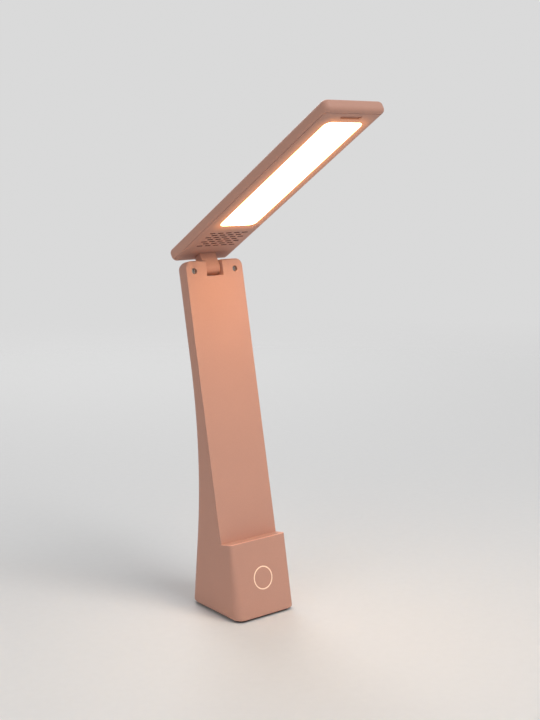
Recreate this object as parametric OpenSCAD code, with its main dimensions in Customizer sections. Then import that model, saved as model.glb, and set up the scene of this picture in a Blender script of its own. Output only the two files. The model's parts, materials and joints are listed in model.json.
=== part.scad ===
// Folding LED desk lamp: a leaning stand with a touch ring, and a slab head on a friction hinge.
// Millimetres, +Z up, front towards -Y. The origin is the centre of the face that rests on the table.

/* [Stand] */
// Width of the stem and of its front panel
stand_w = 50; // [46:0.5:54]
// Width of the base at the table, measured at the front
base_w = 53; // [50:0.5:58]
// Width of the base at the table, measured at the back
base_back_w = 48; // [46:0.5:50]
// Depth of the base at the table
base_d = 65; // [62:0.5:76]
// Lean of the front face of the base block from upright
face_lean = 12.2; // [8:0.1:15]
// Lean of the back of the base from upright
back_lean = 8.3; // [4:0.1:11]
// Lean of the stem and its front panel from upright
stem_lean = 11.4; // [9:0.1:14]
// Height of the ledge's front edge above the table
ledge_z = 54.8; // [50:0.2:60]
// Depth of the ledge, from its front edge to the panel
ledge_d = 10.5; // [8:0.1:12]
// Fall of the ledge towards the panel
ledge_tilt = 10; // [0:0.5:14]
// Length of the front panel above the ledge
panel_len = 200.5; // [190:0.5:215]
// Thickness of the stem at its top, panel included
stem_t = 13.6; // [13.2:0.1:16]
// Radius of the hollow curve between the stem's back and the base's back
back_r = 400; // [300:5:500]
// Wall of the stand shell
wall = 2.2; // [1.6:0.1:2.6]

/* [Rounding] */
// Corner radius of the base block's front at the table
base_front_r = 7.5; // [5:0.1:9]
// Corner radius of the base block's front at the ledge
ledge_r = 2.6; // [2:0.1:5]
// Corner radius of the base's back at the table
base_back_r = 14; // [10:0.5:16]
// Corner radius along the stem's back
stem_back_r = 7; // [5:0.1:8]
// Corner radius at the top of the stem and panel, seen from the front
top_r = 5.5; // [4:0.1:7]
// Edge radius across the top of the stem's back
top_back_r = 3; // [2:0.1:4]
// Edge radius along the bottom of the stand shell
foot_edge_r = 1.7; // [0.8:0.1:1.8]

/* [Front panel] */
// Thickness of the front panel
panel_t = 2.4; // [2:0.1:2.8]
// Edge radius across the top of the panel's face
panel_edge_r = 1.2; // [0.8:0.1:1.6]
// How far the panel's foot reaches below the ledge
panel_foot = 1.8; // [1.2:0.1:2.4]
// Width of the hinge notch
notch_w = 14.6; // [13:0.1:16]
// Depth of the hinge notch below the top
notch_d = 11.4; // [11.2:0.1:13]
// Distance between the two panel screws
panel_screw_span = 36; // [34:0.5:37]
// Depth of the panel screws below the top
panel_screw_drop = 7.4; // [7:0.1:9]
// Radius of the recess that each panel screw's head sits in
panel_recess_r = 2.15; // [2:0.05:2.4]

/* [Hinge] */
// Depth of the hinge axis behind the panel's face
axis_back = 8; // [7.8:0.1:8.4]
// Depth of the hinge axis below the stem's top
axis_drop = 5.3; // [5:0.1:6]
// Distance of the head's underside from the hinge axis
axis_to_head = 9.6; // [9.4:0.1:11]
// Angle of the head above level, as it stands
head_tilt = 31.6; // [0:0.1:60]
// Radius of the hinge knuckle's barrel
barrel_r = 5.4; // [5:0.1:5.5]
// Gap between the knuckle and each side of its notch
knuckle_gap = 0.4; // [0.3:0.05:0.6]
// Radius of the hollow hinge pin
pin_r = 2; // [1.9:0.05:2.1]
// Radius of the cable hole along the pin
pin_hole_r = 1.15; // [1.05:0.05:1.3]
// Running clearance between the pin and its brackets
run_clear = 0.05; // [0.02:0.01:0.09]
// Thickness of the hinge bracket sheet
bracket_t = 1.5; // [1.2:0.1:1.8]
// Thickness of a friction washer
washer_t = 0.6; // [0.4:0.1:0.8]
// Thickness of the lock nut
nut_t = 2.2; // [1.8:0.1:2.4]

/* [Head] */
// Width of the head
head_w = 50; // [46:0.5:54]
// Thickness of the head
head_t = 8.8; // [8.6:0.1:11]
// Reach of the head from the hinge axis to its tip
tip_reach = 188.4; // [184:0.1:189]
// Reach of the head past the hinge axis, towards its tail
tail_reach = 6.2; // [5.8:0.1:6.6]
// Corner radius of the head, seen from above
head_r = 4.2; // [3.6:0.1:6]
// Edge radius round the top of the head
head_top_r = 3.3; // [3:0.1:3.6]
// Depth of the top's rounding at the head's two ends
head_nose = 3.9; // [3.3:0.1:4.5]
// Height of the rounding under the head's edge
head_under_h = 3.4; // [3:0.1:3.6]
// Depth of the rounding under the head's long sides
head_under_side = 4.2; // [3.6:0.1:4.6]
// Depth of the rounding under the head's two ends
head_under_end = 2.8; // [2.4:0.1:3.4]
// Wall of the head's two mouldings
head_wall = 1.6; // [1.2:0.1:1.8]
// Distance of the seam in from the head's side
seam_in = 1.3; // [1.2:0.1:1.4]
// Distance of the seam in from the head's tip
seam_tip = 3.6; // [3:0.1:4]
// Distance of the seam in from the head's tail
seam_tail = 2.4; // [2:0.1:2.8]
// Width of the open seam between the head's mouldings
seam_gap = 0.25; // [0.15:0.05:0.4]

/* [Light] */
// Width of the diffuser's face
window_w = 32; // [28:0.2:36]
// Distance from the hinge axis to the diffuser's near end
window_near = 44.9; // [42:0.1:48]
// Distance from the hinge axis to the diffuser's far end
window_far = 175.1; // [165:0.1:176]
// Corner radius of the diffuser's face
window_r = 5; // [3:0.1:7]
// Width of the diffuser's flange, all round
flange_w = 2; // [1.5:0.1:2.5]
// Number of light chips along the board
chips_along = 18; // [10:1:24]
// Number of rows of light chips
chip_rows = 2; // [1:1:3]

/* [Vents and slot] */
// Number of rows of vent slots
vent_rows = 7; // [3:2:7]
// Vent slots in a long row
vent_cols = 5; // [3:1:5]
// Distance between vent slots along a row
vent_pitch_x = 7.1; // [6.5:0.1:7.4]
// Distance between rows of vent slots
vent_pitch_s = 3; // [2.6:0.1:3.1]
// Length of a vent slot
vent_len = 5; // [4:0.1:5.6]
// Width of a vent slot
vent_wide = 1.1; // [0.8:0.1:1.4]
// Distance from the hinge axis to the farthest row of vents
vent_far = 35; // [34:0.2:37]
// Length of the thumb slot near the tip
slot_len = 17.4; // [10:0.2:20]
// Width of the thumb slot near the tip
slot_wide = 3; // [1.6:0.1:3.2]
// Distance of the thumb slot in from the tip
slot_in = 8.2; // [7:0.1:9]

/* [Touch ring] */
// Middle radius of the touch ring
ring_r = 7.9; // [6:0.1:10]
// Width of the touch ring's line
ring_w = 0.8; // [0.6:0.1:1.4]
// Height of the ring's centre along the base block's face
ring_up = 28.4; // [24:0.2:32]

/* [Base fittings] */
// Height of the stand shell's bottom above the table, the pad's thickness
pad_t = 1.5; // [1.2:0.1:2.5]
// Distance of the pad in from the base's outline
pad_in = 3.2; // [2.6:0.1:5]
// Thickness of the bottom plate
plate_t = 2; // [1.6:0.1:2.4]
// Thickness of the ballast plate
ballast_t = 4; // [3:0.5:5]
// Width of the ballast plate
ballast_w = 30; // [26:0.5:31]
// Depth of the ballast plate
ballast_d = 40; // [34:0.5:42]
// Clearance in front of the battery cell and behind it
cell_gap = 1.9; // [1.6:0.1:3]
// Length of the battery cell
cell_len = 65; // [50:0.5:70]
// Width of the control board
board_w = 30; // [28:0.5:31]
// Depth of the control board
board_d = 40; // [36:0.5:42]
// Thickness of the control board and the touch board
board_t = 1.6; // [1:0.1:1.8]
// Width of the charging socket's opening
usb_w = 9; // [8.9:0.05:9.2]
// Height of the charging socket's opening
usb_h = 3.3; // [3.2:0.05:3.4]
// Radius of the cables inside the lamp
cable_r = 0.7; // [0.5:0.05:0.8]

/* [Hidden] */

body_colour = "#d9917a";
dark = "#2b2b2d";
steel = "#b9bcc0";
white = "#f2f0ea";
board_green = "#1f6a45";
EPS = 0.01;
AIR = 0.05;            // air between two pieces of one body that lie face to face
CABLE_AIR = 0.15;      // air between the ends of the two hinge cables, which turn against each other
SEAT = 0.2;            // air round a piece that drops into a recess
SKIN_STEPS = 8;        // facets in each rounded corner of an outer skin
CORE_STEPS = 6;        // facets in each rounded corner of a hidden hollow

// ---- stand: places in the y-z plane ----
foot_y = -base_d / 2 + ledge_z * tan(face_lean) + ledge_d * cos(ledge_tilt);
foot_z = ledge_z - ledge_d * sin(ledge_tilt);
over_z = ledge_z + 1.5;                                    // the base's faces run on past the ledge
function face_y(z) = -base_d / 2 + z * tan(face_lean);
function at_stem(y, z) = [foot_y + y * cos(stem_lean) + z * sin(stem_lean),
                          foot_z - y * sin(stem_lean) + z * cos(stem_lean)];

// Back of the stand: a straight base, a hollow curve of radius back_r, and a straight stem.
stem_line = foot_y - foot_z * tan(stem_lean) + stem_t / cos(stem_lean);
curve_z = (base_d / 2 - stem_line + back_r * (1 / cos(back_lean) - 1 / cos(stem_lean)))
          / (tan(stem_lean) + tan(back_lean));
curve_y = base_d / 2 - curve_z * tan(back_lean) + back_r / cos(back_lean);
curve_low = curve_z - back_r * sin(back_lean);
curve_high = curve_z + back_r * sin(stem_lean);
function back_y(z) = z < curve_low ? base_d / 2 - z * tan(back_lean)
                   : z > curve_high ? stem_line + z * tan(stem_lean)
                   : curve_y - sqrt(back_r * back_r - (z - curve_z) * (z - curve_z));

function mix(a, b, t) = a + (b - a) * t;
function clamp01(t) = min(1, max(0, t));
function above(z) = z / ledge_z;                           // 0 at the table, 1 at the ledge
function front_w(z) = mix(base_w, stand_w, above(z));
function back_w(z) = mix(base_back_w, stand_w, above(z));
function front_r(z) = mix(base_front_r, ledge_r, above(z));
function rear_r(z) = mix(stem_back_r, base_back_r, pow(1 - clamp01(z / curve_high), 1.5));

// ---- screws ----
screw_r = 1;
screw_bore_r = screw_r + 0.03;
screw_pass_r = screw_r + 0.15;
screw_head_r = 1.9;
screw_head_h = 1.3;
boss_r = 2.6;

// ---- front panel ----
head_sink = 1.2;                                           // panel screw's head below the panel's face
recess_d = head_sink + screw_head_h;
boss_floor = 1;
panel_back = recess_d + boss_floor;                        // back of the panel's screw bosses
foot_w = stand_w - 6;                                      // width of the panel's foot
foot_pocket = panel_foot + SEAT;
lip_t = 1.6;                                               // rib that stands behind the panel's foot
lip_h = 4;
seat_y = panel_t + AIR;                                    // front rim of the shell, behind the panel

// ---- hinge and head places ----
axis_z = panel_len - axis_drop;                            // along the stem
axis_at = at_stem(axis_back, axis_z);
notch_rib = 1.6;                                           // wall round the hinge notch
knuckle_w = notch_w - 2 * knuckle_gap;
ear_x = notch_w / 2 + notch_rib + AIR;                     // inner face of each bracket's ear
ear_out = ear_x + bracket_t;
ear_top = axis_drop - wall - AIR;                          // ear above the hinge axis
ear_front = 4.8;                                           // ear in front of the hinge axis
ear_back = stem_t - wall - axis_back - AIR;                // ear behind the hinge axis
bracket_pad = 0.8;                                         // pads that the brackets are screwed to
bracket_low = 22;                                          // bracket below the hinge axis
bracket_screw_z = [12, 18.5];
bracket_screw_x = 15.6;
bracket_w = 9.6;
washer_r = ear_top - 0.15;
spring_t = 1.2;                                            // the pair of disc springs, stacked
spring_x = ear_out + washer_t + run_clear * 2;
nut_x = spring_x + spring_t + AIR;
nut_end = nut_x + nut_t;
flange_x = ear_out + run_clear;
pin_flange_t = 1;
pin_end = flange_x + pin_flange_t;
neck_tail = 1.8;                                           // neck behind the hinge axis
knuckle_foot_low = 3;                                      // above the head's underside
knuckle_foot_t = 2;
knuckle_foot_front = 13.6;
knuckle_foot_w = 27;
knuckle_screw_x = 10.4;
knuckle_screw_y = [0.6, -10.6];
cable_split = pin_end + 0.6;                               // where the two hinge cables meet

// ---- light ----
cover_in = head_t - head_wall;                             // inner face of the cover's top wall
flange_t = 1;
spreader_t = 1;
led_board_t = 1;
chip_h = 0.7;
chip_w = 2.8;
led_low = cover_in - spreader_t - led_board_t - 2 * AIR;   // underside of the light board
window_len = window_far - window_near;
window_mid = (window_far + window_near) / 2;
tray_low = head_wall + flange_t + 2 * AIR;

// ---- base places ----
plate_top = pad_t + plate_t;
ballast_low = plate_top + AIR;
board_low = ballast_low + ballast_t + 2.6;
board_top = board_low + board_t;
usb_len = 7.4;
usb_z = board_top + AIR + usb_h / 2;
usb_y = back_y(usb_z) - 0.5;                               // mouth of the socket
board_back = usb_y - 2.4;
board_mid = board_back - board_d / 2;
post_x = board_w / 2 - 3;
post_y = [board_mid - board_d / 2 + 4, board_mid + board_d / 2 - 12];
post_r = 2.2;
cradle_wall = 1.2;
cradle_low = board_top + 4.4;
cell_low = cradle_low + cradle_wall + AIR;
cell_top = cell_low + cell_len;
cell_front = foot_y + panel_t / cos(stem_lean) + (cell_top - foot_z) * tan(stem_lean);
cell_back = back_y(cell_top) - wall;
cell_d = cell_back - cell_front - 2 * cell_gap;            // the cell fills the stem's depth
cell_y = (cell_front + cell_back) / 2;
cradle_r = cell_d / 2 + SEAT + cradle_wall;
cradle_h = 30;
leg_r = 2.4;
leg_x = board_w / 2 + 1 + leg_r;                           // the cradle's four legs
leg_y = [cell_y - 8, cell_y + 7];
front_boss = [base_w / 2 - 5.2, 6.6 - base_d / 2];         // the bottom plate's screws
back_in = (base_back_r - wall - boss_r - 0.4) / sqrt(2) - base_back_r;
back_boss = [base_back_w / 2 + back_in, base_d / 2 + back_in];
plate_boss_top = board_low - 0.8;
tab_t = 0.2;
tab_w = 5;
tab_end = cell_y - cell_d / 2 - 1.2;                       // front end of the lower tab

// Headers on the control board: middle x, front y, width and depth.
header_h = 3.2;
chip_len = 6;
cell_header = [-5, board_mid - 19, 5, 4];
touch_header = [1.5, board_mid - 19, 5, 4];
light_header = [-8.5, board_mid - 13, 4, 5];
plug_z = board_top + header_h / 2;

// ---- touch board, in the frame of the base block's face ----
face_wall = wall * cos(face_lean);
touch_gap = 3.4;                                           // front wall to the board
touch_w = 24;
touch_h = 28;
touch_y = face_wall + touch_gap;
touch_screw_x = 9.4;
touch_screw_z = 11.4;
ring_sink = 1.2;
peg_r = 0.35;
peg_count = 4;

// ================= helpers =================
module at_panel() { translate([0, foot_y, foot_z]) rotate([-stem_lean, 0, 0]) children(); }
module at_face() { translate([0, -base_d / 2, 0]) rotate([-face_lean, 0, 0]) children(); }
module at_axis() { translate([0, axis_at[0], axis_at[1]]) rotate([-head_tilt, 0, 0]) children(); }
// Head frame: y runs towards the tail and z up from the head's underside.
module at_head() { at_axis() translate([0, 0, axis_to_head]) children(); }
module along_x(x, r, l) { translate([x, 0, 0]) rotate([0, 90, 0]) cylinder(r = r, h = l, $fn = 48); }
module along_y(y, r, l) { translate([0, y, 0]) rotate([-90, 0, 0]) cylinder(r = r, h = l, $fn = 40); }
module in_pairs(x) { for (side = [-1, 1]) translate([side * x, 0, 0]) children(); }
// A flat profile drawn in y and z, w wide along X about the middle.
module across(w) { rotate([90, 0, 90]) translate([0, 0, -w / 2]) linear_extrude(w) children(); }
// Of four numbered pieces, 1 and 3 are on the left, and 1 and 2 in the first row.
function side(i) = i % 2 == 1 ? -1 : 1;
function row(i) = i > 2 ? 1 : 0;
// A box centred on x = 0, from [y0, z0] to [y1, z1].
module block(w, y0, z0, y1, z1) { translate([-w / 2, y0, z0]) cube([w, y1 - y0, z1 - z0]); }
// A rounded rectangle centred on the origin.
module rounded(w, l, r) {
    square([w, l - 2 * r], center = true);
    square([w - 2 * r, l], center = true);
    for (x = [-1, 1], y = [-1, 1]) translate([x * (w / 2 - r), y * (l / 2 - r)]) circle(r = r, $fn = 48);
}

function arc(x, y, r, a0, a1, n) = [for (i = [0:n])
    let (a = mix(a0, a1, i / n)) [x + r * cos(a), y + r * sin(a)]];

// Rounded outline, its front edge on y = 0 and its back edge on y = depth, widths measured at both.
function outline(wf, wb, depth, rf, rb, n) =
    let (t = atan((wf - wb) / 2 / depth),
         xf = wf / 2 - rf * (1 + sin(t)) / cos(t),
         xb = wb / 2 - rb * (1 - sin(t)) / cos(t))
    concat(arc(xf, rf, rf, -90, t, n), arc(xb, depth - rb, rb, t, 90, n),
           arc(-xb, depth - rb, rb, 90, 180 - t, n), arc(-xf, rf, rf, 180 - t, 270, n));

// The same outline laid in space, from a front point [y, z] to a back point [y, z].
function ring_at(front, back, wf, wb, rf, rb, n) =
    let (depth = norm(back - front), dir = (back - front) / depth)
    [for (p = outline(wf, wb, depth, rf, rb, n))
        [p[0], front[0] + dir[0] * p[1], front[1] + dir[1] * p[1]]];

module loft(rings) {
    n = len(rings[0]);
    m = len(rings);
    polyhedron(
        points = [for (r = rings) each r],
        faces = concat(
            [[for (j = [0:n - 1]) j], [for (j = [n - 1:-1:0]) (m - 1) * n + j]],
            [for (i = [0:m - 2], j = [0:n - 1]) let (k = (j + 1) % n)
                each [[i * n + j, (i + 1) * n + j, (i + 1) * n + k],
                      [i * n + j, (i + 1) * n + k, i * n + k]]]));
}

// Catmull-Rom curve through a list of points, and a tube along it.
function curve_point(p0, p1, p2, p3, t) =
    0.5 * (2 * p1 + (p2 - p0) * t + (2 * p0 - 5 * p1 + 4 * p2 - p3) * t * t
           + (3 * p1 - p0 - 3 * p2 + p3) * t * t * t);
function smooth(pts, steps) = let (n = len(pts)) concat(
    [for (i = [0:n - 2], s = [0:steps - 1])
        curve_point(pts[max(i - 1, 0)], pts[i], pts[i + 1], pts[min(i + 2, n - 1)], s / steps)],
    [pts[n - 1]]);
function unit(v) = v / norm(v);
module tube(path, r, side = [0, 1, 0], sides = 8) {
    n = len(path);
    loft([for (i = [0:n - 1])
        let (t = unit(path[min(i + 1, n - 1)] - path[max(i - 1, 0)]),
             u = unit(cross(side, t)),
             v = cross(t, u))
        [for (a = [0:sides - 1]) path[i] + r * (u * cos(360 * a / sides) + v * sin(360 * a / sides))]]);
}

// Pan head screw with a cross recess, its head's seat on z = 0 and its shank pointing down.
module screw(len, head_r = screw_head_r) {
    difference() {
        union() {
            cylinder(r = head_r, h = screw_head_h * 0.6, $fn = 32);
            translate([0, 0, screw_head_h * 0.6])
                cylinder(r1 = head_r, r2 = head_r * 0.72, h = screw_head_h * 0.4, $fn = 32);
            translate([0, 0, -len]) cylinder(r = screw_r, h = len + EPS, $fn = 24);
        }
        for (a = [0, 90]) rotate([0, 0, a])
            translate([-head_r * 0.62, -0.22, screw_head_h - 0.75]) cube([head_r * 1.24, 0.44, 1]);
    }
}

// ================= stand shell =================
BASE_STEPS = 6;
STEM_STEPS = 20;
TOP_STEPS = 6;
function base_ring(z, in, n) =
    ring_at([face_y(z) + in, z], [back_y(z) - in, z], front_w(z) - 2 * in, back_w(z) - 2 * in,
            max(front_r(z) - in, 0.6), max(rear_r(z) - in, 0.6), n);
function stem_ring(t, in, n) =
    let (f = mix([face_y(over_z), over_z], at_stem(-ledge_d, panel_len - top_r), t),
         bz = mix(over_z, at_stem(stem_t, panel_len - top_r)[1], t), b = [back_y(bz), bz],
         dir = (b - f) / norm(b - f))
    ring_at(f + dir * in, b - dir * in, stand_w - 2 * in, stand_w - 2 * in,
            max(ledge_r - in, 0.6), rear_r(bz) - in, n);
function top_ring(a, in, n) =
    let (z = panel_len - top_r + (top_r - in) * sin(a), w = stand_w - 2 * (top_r - (top_r - in) * cos(a)))
    ring_at(at_stem(in - ledge_d, z), at_stem(stem_t - in - top_back_r * (1 - cos(a)), z), w, w,
            max(ledge_r - in, 0.6), stem_back_r - in, n);

module stand_outside() {
    loft(concat(
        [for (a = [0:30:60])
            base_ring(pad_t + foot_edge_r * (1 - cos(a)), foot_edge_r * (1 - sin(a)), SKIN_STEPS)],
        [for (i = [0:BASE_STEPS]) base_ring(mix(pad_t + foot_edge_r, over_z, i / BASE_STEPS), 0, SKIN_STEPS)],
        [for (i = [1:STEM_STEPS]) stem_ring(i / STEM_STEPS, 0, SKIN_STEPS)],
        [for (i = [1:TOP_STEPS]) top_ring(90 * i / TOP_STEPS, 0, SKIN_STEPS)]));
}

module stand_hollow() {
    difference() {
        loft(concat(
            [for (t = [0, 0.5, 1]) base_ring(mix(-pad_t, over_z, t), wall, CORE_STEPS)],
            [for (i = [1:10]) stem_ring(i / 10, wall, CORE_STEPS)],
            [for (a = [30, 60, 90]) top_ring(a, wall, CORE_STEPS)]));
        // the ledge, with the pocket for the panel's foot, and the walls of the hinge notch stay solid
        at_panel() {
            block(base_w, -ledge_d * 3, -foot_pocket - wall, seat_y + lip_t, lip_h);
            block(notch_w + 2 * notch_rib, -1, panel_len - notch_d - notch_rib, stem_t + 1, panel_len + 1);
        }
    }
}

// Everything in front of the panel's seat and above the ledge.
module panel_space() {
    rise = 3 * ledge_d;
    across(base_w) polygon([
        [foot_y - rise * cos(ledge_tilt), foot_z + rise * sin(ledge_tilt)],
        [foot_y, foot_z],
        at_stem(seat_y, 0), at_stem(seat_y, panel_len * 1.1), at_stem(-rise, panel_len * 1.1)]);
    at_panel() block(foot_w + 2 * SEAT, -SEAT, -foot_pocket, panel_t + SEAT, EPS);
}

module stand_shell() {
    color(body_colour) difference() {
        union() {
            difference() {
                stand_outside();
                stand_hollow();
            }
            at_panel() {
                in_pairs(panel_screw_span / 2) translate([0, 0, panel_len - panel_screw_drop])
                    along_y(panel_back + AIR, boss_r, stem_t - wall / 2 - panel_back - AIR);
                in_pairs(bracket_screw_x) for (z = bracket_screw_z) translate([0, 0, axis_z - z])
                    along_y(stem_t - wall - bracket_pad, boss_r, bracket_pad + wall / 2);
            }
            for (b = [front_boss, back_boss]) in_pairs(b[0]) translate([0, b[1], plate_top + AIR])
                cylinder(r = boss_r, h = plate_boss_top - plate_top, $fn = 32);
            // a rib from each back boss to the rounded corner behind it
            for (x = [-1, 1]) translate([x * back_boss[0], back_boss[1], plate_top + AIR])
                rotate([0, 0, 90 - x * 45]) translate([0, -0.8, 0])
                    cube([boss_r + 1, 1.6, plate_boss_top - plate_top]);
            at_face() in_pairs(touch_screw_x) for (z = [-1, 1])
                translate([0, 0, ring_up + z * touch_screw_z])
                    along_y(face_wall / 2, boss_r, face_wall / 2 + touch_gap - AIR);
        }
        panel_space();
        at_panel() {
            block(notch_w, -1, panel_len - notch_d, stem_t + 1, panel_len * 1.1);
            translate([0, axis_back, axis_z]) along_x(-ear_x, pin_r + 0.3, 2 * ear_x);
            in_pairs(panel_screw_span / 2) translate([0, 0, panel_len - panel_screw_drop])
                along_y(0, screw_bore_r, stem_t - wall / 2);
            in_pairs(bracket_screw_x) for (z = bracket_screw_z) translate([0, 0, axis_z - z])
                along_y(axis_back, screw_bore_r, stem_t - axis_back - 0.6);
        }
        for (b = [front_boss, back_boss]) in_pairs(b[0]) translate([0, b[1], 0])
            cylinder(r = screw_bore_r, h = plate_boss_top - 0.8, $fn = 32);
        at_face() {
            in_pairs(touch_screw_x) for (z = [-1, 1]) translate([0, 0, ring_up + z * touch_screw_z])
                along_y(0.8, screw_bore_r, touch_y);
            translate([0, 0, ring_up]) {
                difference() {
                    along_y(-5, ring_r + ring_w / 2 + AIR, 5 + ring_sink + AIR);
                    along_y(-6, ring_r - ring_w / 2 - AIR, 12);
                }
                for (i = [1:peg_count]) rotate([0, 360 * (i - 0.5) / peg_count, 0]) translate([ring_r, 0, 0])
                    along_y(0, peg_r + AIR, face_wall + 1);
            }
        }
        // mouth of the charging socket
        translate([0, usb_y, usb_z]) rotate([90, 0, 0]) translate([0, 0, -10])
            linear_extrude(20) rounded(usb_w + 2 * SEAT, usb_h + 2 * SEAT, usb_h / 2 + SEAT - EPS);
    }
}

// ================= front panel =================
module panel_outline() {
    translate([-foot_w / 2, -panel_foot]) square([foot_w, panel_foot + 1]);
    translate([-stand_w / 2, 0]) square([stand_w, panel_len - top_r]);
    translate([top_r - stand_w / 2, 0]) square([stand_w - 2 * top_r, panel_len]);
    for (x = [-1, 1]) translate([x * (stand_w / 2 - top_r), panel_len - top_r]) circle(r = top_r, $fn = 64);
}

module front_panel() {
    color(body_colour) at_panel() difference() {
        union() {
            translate([0, panel_t, 0]) rotate([90, 0, 0]) linear_extrude(panel_t) panel_outline();
            in_pairs(panel_screw_span / 2) translate([0, 0, panel_len - panel_screw_drop])
                along_y(panel_t / 2, boss_r, panel_back - panel_t / 2);
        }
        block(notch_w, -1, panel_len - notch_d, panel_t + 5, panel_len + 1);
        in_pairs(panel_screw_span / 2) translate([0, 0, panel_len - panel_screw_drop]) {
            along_y(-1, panel_recess_r, recess_d + 1);
            along_y(0, screw_pass_r, panel_back + 1);
        }
        // rounded top edge, so that the head clears it as it turns
        difference() {
            block(stand_w + 2, -1, panel_len - panel_edge_r, panel_edge_r, panel_len + 1);
            translate([0, panel_edge_r, panel_len - panel_edge_r])
                along_x(-stand_w / 2 - 2, panel_edge_r, stand_w + 4);
        }
    }
}

module panel_screw(x) {
    color(steel) at_panel() translate([x, recess_d, panel_len - panel_screw_drop])
        rotate([90, 0, 0]) screw(6.5);
}
module panel_screw_left() { panel_screw(-panel_screw_span / 2); }
module panel_screw_right() { panel_screw(panel_screw_span / 2); }

// ================= base =================
module bottom_plate() {
    in = wall + SEAT;
    color(dark) difference() {
        union() {
            translate([0, face_y(plate_top) + in, pad_t]) linear_extrude(plate_t)
                polygon(outline(base_w - 2 * in, base_back_w - 2 * in,
                                back_y(plate_top) - face_y(plate_top) - 2 * in,
                                base_front_r - in, base_back_r - in, SKIN_STEPS));
            in_pairs(post_x) for (y = post_y) translate([0, y, pad_t])
                cylinder(r = post_r, h = board_low - pad_t - AIR, $fn = 32);
        }
        in_pairs(post_x) for (y = post_y) translate([0, y, pad_t + 0.8])
            cylinder(r = screw_bore_r, h = board_low, $fn = 32);
        for (b = [front_boss, back_boss]) in_pairs(b[0]) translate([0, b[1], 0]) plate_hole();
        in_pairs(leg_x) for (y = leg_y) translate([0, y, 0]) plate_hole();
    }
}

module plate_hole() {
    cylinder(r = screw_head_r + SEAT, h = pad_t + screw_head_h + AIR, $fn = 32);
    cylinder(r = screw_pass_r, h = plate_top + 1, $fn = 32);
}

// Screw that comes up through the bottom plate.
module plate_screw(len) { translate([0, 0, pad_t + screw_head_h + AIR]) rotate([180, 0, 0]) screw(len); }

module bottom_screw(i) {
    b = [front_boss, back_boss][row(i)];
    color(steel) translate([side(i) * b[0], b[1], 0])
        plate_screw(plate_boss_top - pad_t - screw_head_h - 1.2);
}

module anti_slip_pad() {
    color(dark) translate([0, face_y(pad_t) + pad_in, 0]) linear_extrude(pad_t)
        polygon(outline(base_w - 2 * pad_in, base_back_w - 2 * pad_in,
                        back_y(pad_t) - face_y(pad_t) - 2 * pad_in,
                        base_front_r - pad_in, base_back_r - pad_in, SKIN_STEPS));
}

module ballast_plate() {
    color(steel) difference() {
        translate([0, board_mid, ballast_low]) linear_extrude(ballast_t) rounded(ballast_w, ballast_d, 2);
        in_pairs(post_x) for (y = post_y) translate([0, y, 0])
            cylinder(r = post_r + SEAT, h = board_low, $fn = 32);
        in_pairs(back_boss[0]) translate([0, back_boss[1], 0])
            cylinder(r = boss_r + SEAT, h = board_low, $fn = 32);
    }
}

module battery_cell() {
    color("#3f6fb0") translate([0, cell_y, cell_low + tab_t + AIR]) {
        cylinder(r = cell_d / 2, h = cell_len - 1, $fn = 64);
        cylinder(r = 2.8, h = cell_len, $fn = 32);
    }
}

module cell_tab_top() {
    color(steel) translate([0, cell_y, cell_top + 1.5 * tab_t + 2 * AIR])
        cube([tab_w - 1, tab_w - 1, tab_t], center = true);
}

module cell_tab_bottom() {
    color(steel) translate([-tab_w / 2, tab_end, cell_low])
        cube([tab_w, cell_y + cell_d / 3 - tab_end, tab_t]);
}

module battery_cradle() {
    color(dark) difference() {
        union() {
            translate([0, cell_y, cradle_low]) {
                cylinder(r = cradle_r, h = cradle_wall, $fn = 64);
                difference() {
                    cylinder(r = cradle_r, h = cradle_h, $fn = 64);
                    translate([0, 0, cradle_wall])
                        cylinder(r = cradle_r - cradle_wall, h = cradle_h, $fn = 64);
                    translate([-cradle_r, -2 * cradle_r - 1, cradle_wall])
                        cube([2 * cradle_r, 2 * cradle_r, cradle_h]);
                }
            }
            for (y = leg_y) translate([-leg_x, y - leg_r, cradle_low])
                cube([2 * leg_x, 2 * leg_r, cradle_wall]);
            in_pairs(leg_x) for (y = leg_y) translate([0, y, plate_top + AIR])
                cylinder(r = leg_r, h = cradle_low + cradle_wall - plate_top - AIR, $fn = 32);
        }
        in_pairs(leg_x) for (y = leg_y) translate([0, y, 0])
            cylinder(r = screw_bore_r, h = cradle_low - 2, $fn = 32);
        // mouth for the lower tab
        translate([-tab_w / 2 - 0.5, cell_y - 2 * cradle_r, cradle_low - 1])
            cube([tab_w + 1, 2 * cradle_r - cell_d / 2, cradle_wall + 2]);
    }
}

module cradle_screw(i) {
    color(steel) translate([side(i) * leg_x, leg_y[row(i)], 0])
        plate_screw(cradle_low - 3 - pad_t - screw_head_h);
}

module control_board() {
    color(board_green) difference() {
        translate([-board_w / 2, board_back - board_d, board_low]) cube([board_w, board_d, board_t]);
        in_pairs(post_x) for (y = post_y) translate([0, y, 0])
            cylinder(r = screw_pass_r, h = board_top + 1, $fn = 32);
    }
}

module board_screws() {
    color(steel) in_pairs(post_x) for (y = post_y) translate([0, y, board_top + AIR])
        screw(board_top - pad_t - 2);
}

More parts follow.
